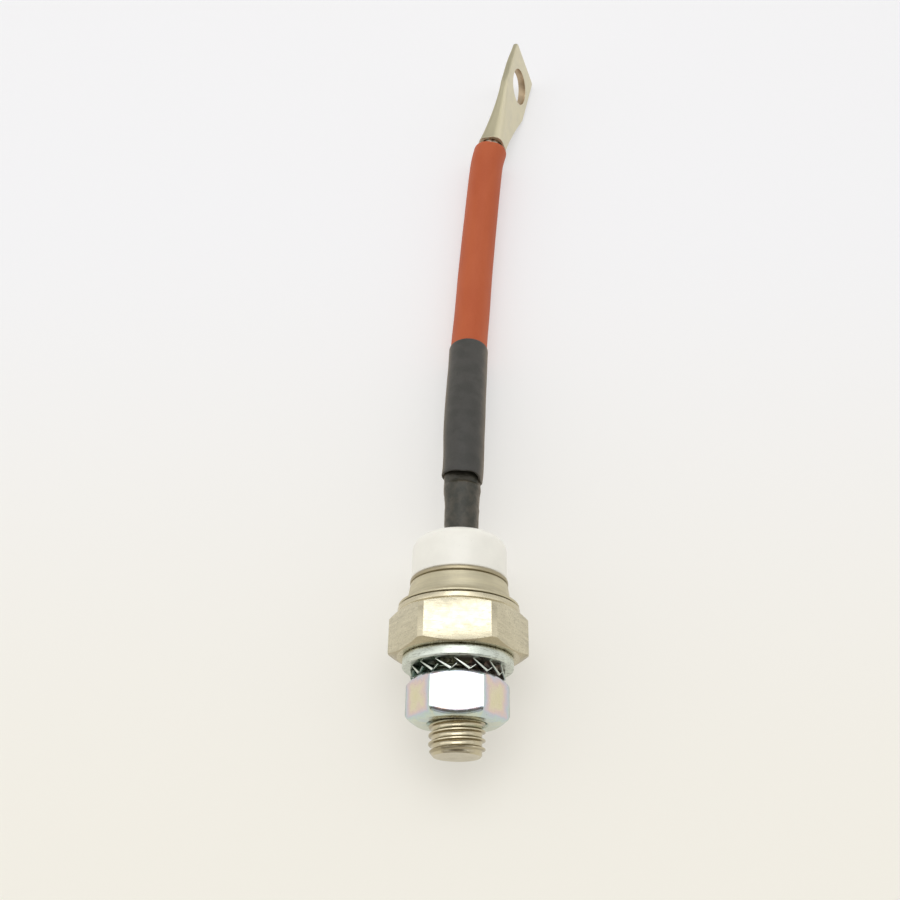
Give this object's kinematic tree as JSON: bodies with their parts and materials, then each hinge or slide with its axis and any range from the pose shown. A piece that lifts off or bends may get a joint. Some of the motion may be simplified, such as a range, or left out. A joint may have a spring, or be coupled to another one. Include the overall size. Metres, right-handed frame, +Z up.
{
  "type": "rectifier diode",
  "caption": "Stud-mount rectifier diode lying on its side: hexagonal base, threaded stud with nut and washers, ceramic housing, and a sleeved flexible lead with a flattened lug.",
  "frame": {"origin": "centre of the mounting face of the hexagonal base, on the axis of the diode; the part lies on one flat of the hexagon, 13.5 mm below the origin", "axes": "+Y along the axis of the diode, from the stud to the lead; +Z up; +X to the right"},
  "size_m": [0.0359, 0.212, 0.027],
  "materials": {
    "nickel_plate": "satin nickel plating on turned copper",
    "ring_steel": "turned steel ring, nickel plated",
    "white_glaze": "white glazed alumina",
    "kovar": "dull nickel-iron alloy",
    "copper": "bare copper",
    "tinned_copper": "tinned copper strands",
    "molybdenum": "lapped molybdenum",
    "silicon": "polished silicon",
    "silicone_rubber": "soft silicone rubber",
    "mica": "mica sheet",
    "spring_steel": "oiled spring steel",
    "white_plastic": "white fluoroplastic",
    "black_sleeve": "black shrink sleeve",
    "red_sleeve": "orange-red coated sleeve",
    "tin_plate": "tinned copper tube lug",
    "zinc_plate": "bright zinc plating",
    "rainbow_zinc": "passivated zinc plating with interference colours"
  },
  "bodies": {
    "root": {"base_stud": "nickel_plate", "housing_ring": "ring_steel", "cap_flange": "kovar", "ceramic_insulator": "white_glaze", "top_ferrule": "kovar", "crimp_tube": "copper", "lower_disc": "molybdenum", "silicon_wafer": "silicon", "passivation_ring": "silicone_rubber", "upper_disc": "molybdenum", "contact_stamp": "copper", "insulating_washer": "mica", "thrust_washer": "spring_steel", "disc_spring_1": "spring_steel", "disc_spring_2": "spring_steel", "disc_spring_3": "spring_steel", "retaining_ring": "spring_steel", "centring_sleeve": "white_plastic", "inner_braid": "copper", "lead_rope": "tinned_copper", "inner_sleeve": "black_sleeve", "outer_sleeve": "black_sleeve", "red_sleeve": "red_sleeve", "cable_lug": "tin_plate", "plain_washer": "zinc_plate", "lock_washer": "zinc_plate", "hex_nut": "rainbow_zinc"}
  },
  "joints": []
}
